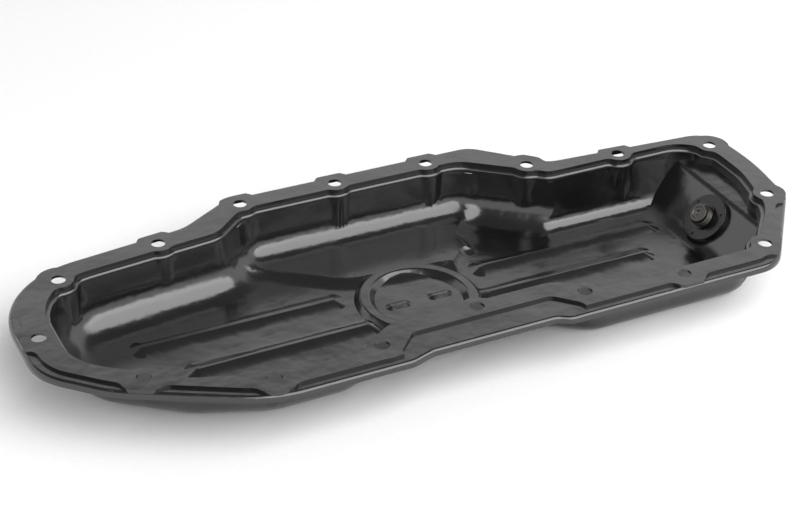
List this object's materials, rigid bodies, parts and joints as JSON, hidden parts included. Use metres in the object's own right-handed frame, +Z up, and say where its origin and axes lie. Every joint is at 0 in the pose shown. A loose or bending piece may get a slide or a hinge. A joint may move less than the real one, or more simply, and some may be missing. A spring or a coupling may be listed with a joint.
{
  "type": "engine oil pan",
  "caption": "Shallow pressed-steel lower oil pan with a bolted sealing flange, floor beads and a drain plug in its sloping end wall.",
  "frame": {"origin": "on the underside of the floor, directly below the centre of the round floor bead", "axes": "+X along the pan towards the drain plug, +Y towards the bulged long side, +Z up out of the open mouth"},
  "size_m": [0.4016, 0.163, 0.0312],
  "materials": {
    "black_coat": "gloss black electro-dip coat on pressed steel",
    "boss_coat": "gloss black coat on a turned steel boss",
    "plug_zinc": "zinc-plated steel, slightly dull",
    "gasket_metal": "soft aluminium"
  },
  "bodies": {
    "pan": {"pan_shell": "black_coat", "drain_boss": "boss_coat"},
    "gasket": {"drain_gasket": "gasket_metal"},
    "plug": {"drain_plug": "plug_zinc"}
  },
  "joints": [
    {"name": "plug_travel", "type": "slide", "parent": "pan", "child": "gasket", "axis": [0.766, 0, -0.6428], "range_m": [0, 0.0126]},
    {"name": "plug_turn", "type": "hinge", "parent": "gasket", "child": "plug", "pos_m": [0.16512, -0.0078, 0.01207], "axis": [0.766, 0, -0.6428], "range_deg": [0, 3600]}
  ],
  "couplings": [
    {"joint": "plug_travel", "follows": "plug_turn", "m_per_rad": 0.00019894}
  ]
}
